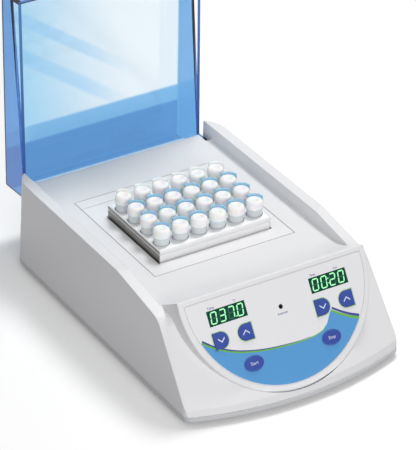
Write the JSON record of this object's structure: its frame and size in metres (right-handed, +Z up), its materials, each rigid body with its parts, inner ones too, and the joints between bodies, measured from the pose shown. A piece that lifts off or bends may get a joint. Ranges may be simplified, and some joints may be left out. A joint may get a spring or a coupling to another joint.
{
  "type": "dry bath incubator",
  "caption": "Bench heater for tubes: a heated aluminium block with bores under a hinged tinted lid, set in a moulded housing with a sloping control panel.",
  "frame": {"origin": "on the bench under the middle of the whole instrument, lid open", "axes": "+X to the user's right, +Y to the back, +Z up"},
  "size_m": [0.1814, 0.3127, 0.2199],
  "materials": {
    "housing_plastic": "satin off-white moulding",
    "pan_plastic": "satin pale grey moulding",
    "foot_rubber": "matt black",
    "surround_paint": "satin white paint",
    "block_aluminium": "fine brushed",
    "well_aluminium": "plain rolled",
    "tube_plastic": "frosted clear polypropylene",
    "mat_rubber": "matt silicone",
    "felt": "soft glass felt",
    "bright_steel": "bright",
    "contact_brass": "bright",
    "label_film": "printed satin film",
    "window_film": "dark green, smooth",
    "module_plastic": "plain black",
    "board_laminate": "green varnish",
    "key_plastic": "smooth blue",
    "jack_plastic": "plain black",
    "black_plastic": "satin black",
    "lid_acrylic": "clear blue tint, polished"
  },
  "bodies": {
    "base": {"upper_housing": "housing_plastic", "base_pan": "pan_plastic", "foot_front_left": "foot_rubber", "foot_front_right": "foot_rubber", "foot_rear_left": "foot_rubber", "foot_rear_right": "foot_rubber", "block_surround": "surround_paint", "heater_well": "well_aluminium", "heater_plate": "well_aluminium", "heater_mat": "mat_rubber", "insulation_jacket": "felt", "temperature_sensor": "bright_steel", "thermal_cutout": "bright_steel", "control_bezel": "housing_plastic", "panel_label": "label_film", "display_window_temp": "window_film", "display_window_time": "window_film", "display_module_temp": "module_plastic", "display_module_time": "module_plastic", "control_board": "board_laminate", "tact_temp_down": "module_plastic", "tact_temp_up": "module_plastic", "tact_time_down": "module_plastic", "tact_time_up": "module_plastic", "tact_start": "module_plastic", "tact_stop": "module_plastic", "probe_jack": "jack_plastic", "power_board": "board_laminate", "power_module": "module_plastic", "capacitor_1": "module_plastic", "capacitor_2": "module_plastic", "heat_sink": "well_aluminium", "mains_inlet": "black_plastic", "inlet_pins": "contact_brass", "switch_body": "black_plastic", "hinge_pin_left": "bright_steel", "hinge_pin_right": "bright_steel"},
    "lid": {"lid": "lid_acrylic"},
    "block": {"heating_block": "block_aluminium", "tube_row_1": "tube_plastic", "tube_row_2": "tube_plastic", "tube_row_3": "tube_plastic", "tube_row_4": "tube_plastic"},
    "rocker": {"switch_rocker": "black_plastic"},
    "drawer": {"fuse_drawer": "black_plastic"},
    "button_temp_down": {"key_temp_down": "key_plastic"},
    "button_temp_up": {"key_temp_up": "key_plastic"},
    "button_time_down": {"key_time_down": "key_plastic"},
    "button_time_up": {"key_time_up": "key_plastic"},
    "button_start": {"key_start": "key_plastic"},
    "button_stop": {"key_stop": "key_plastic"}
  },
  "joints": [
    {"name": "lid_hinge", "type": "hinge", "parent": "base", "child": "lid", "pos_m": [0, 0.1156, 0.0569], "axis": [1, 0, 0], "range_deg": [0, 89.7]},
    {"name": "block_lift", "type": "slide", "parent": "base", "child": "block", "axis": [0, 0, -1], "range_m": [-0.06, 0]},
    {"name": "rocker_tilt", "type": "hinge", "parent": "base", "child": "rocker", "pos_m": [0.01, 0.1229, 0.027], "axis": [0, 0, 1], "range_deg": [0, 14]},
    {"name": "drawer_slide", "type": "slide", "parent": "base", "child": "drawer", "axis": [0, 1, 0], "range_m": [0, 0.012]},
    {"name": "press_temp_down", "type": "slide", "parent": "base", "child": "button_temp_down", "axis": [0, 0.8499, -0.527], "range_m": [0, 0.0005], "stiffness_N_per_m": 1500},
    {"name": "press_temp_up", "type": "slide", "parent": "base", "child": "button_temp_up", "axis": [0, 0.8499, -0.527], "range_m": [0, 0.0005], "stiffness_N_per_m": 1500},
    {"name": "press_time_down", "type": "slide", "parent": "base", "child": "button_time_down", "axis": [0, 0.8499, -0.527], "range_m": [0, 0.0005], "stiffness_N_per_m": 1500},
    {"name": "press_time_up", "type": "slide", "parent": "base", "child": "button_time_up", "axis": [0, 0.8499, -0.527], "range_m": [0, 0.0005], "stiffness_N_per_m": 1500},
    {"name": "press_start", "type": "slide", "parent": "base", "child": "button_start", "axis": [0, 0.8499, -0.527], "range_m": [0, 0.0005], "stiffness_N_per_m": 1500},
    {"name": "press_stop", "type": "slide", "parent": "base", "child": "button_stop", "axis": [0, 0.8499, -0.527], "range_m": [0, 0.0005], "stiffness_N_per_m": 1500}
  ]
}
